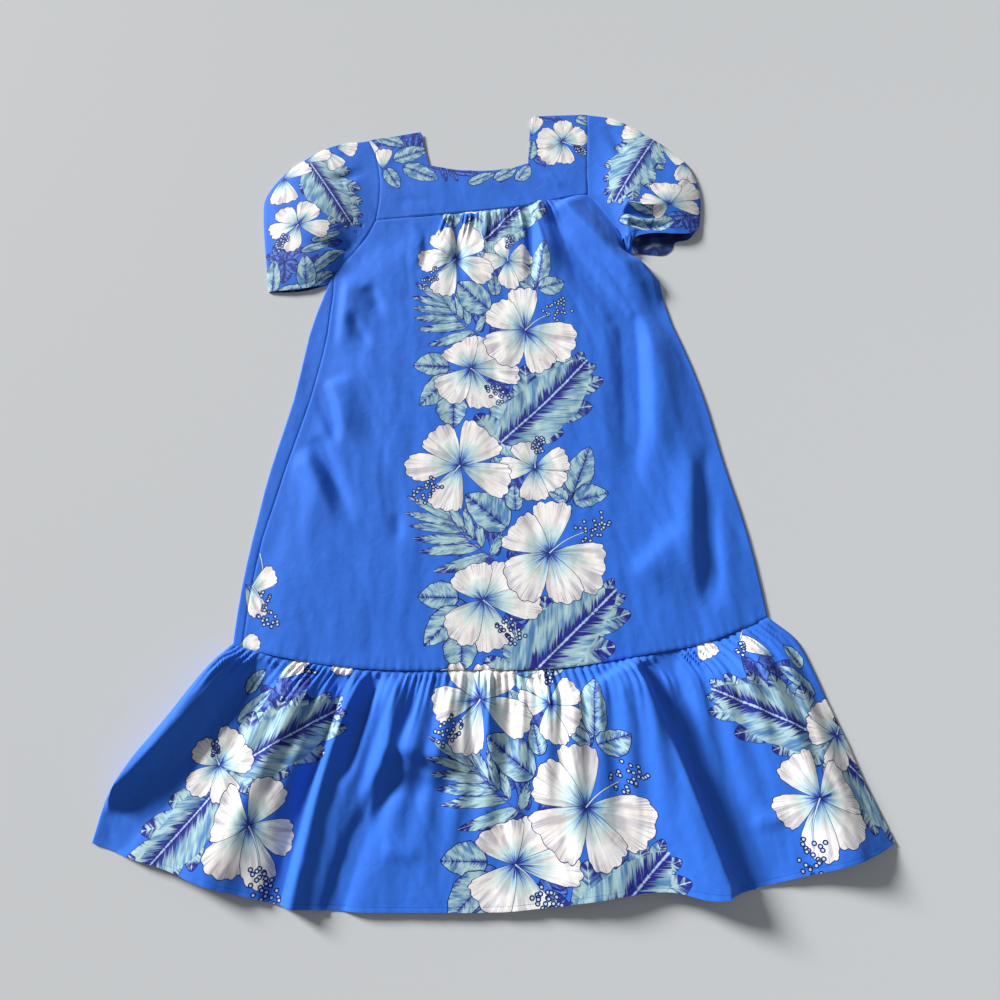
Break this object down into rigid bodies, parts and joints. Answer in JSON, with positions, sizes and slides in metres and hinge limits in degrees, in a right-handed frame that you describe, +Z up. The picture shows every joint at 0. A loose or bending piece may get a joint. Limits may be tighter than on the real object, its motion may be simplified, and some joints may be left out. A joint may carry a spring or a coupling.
{
  "type": "hawaiian maxi dress",
  "caption": "Long A-line cotton dress with a square-necked yoke, short puffed sleeves and a gathered hem flounce, lying flat and face up.",
  "frame": {"origin": "middle of the dress's outline, on the surface that it lies on", "axes": "+X to the right as seen from above, +Y towards the neck, +Z up through the front of the dress"},
  "size_m": [1.114, 1.3512, 0.0363],
  "materials": {
    "printed_cotton": "royal blue plain-weave cotton with white and pale green flower and leaf print, soft matte with a faint sheen"
  },
  "bodies": {
    "root": {"back_yoke": "printed_cotton", "back_body": "printed_cotton", "flounce_back": "printed_cotton", "sleeve_left": "printed_cotton", "sleeve_right": "printed_cotton", "front_yoke": "printed_cotton", "front_body": "printed_cotton", "flounce_front": "printed_cotton"}
  },
  "joints": []
}
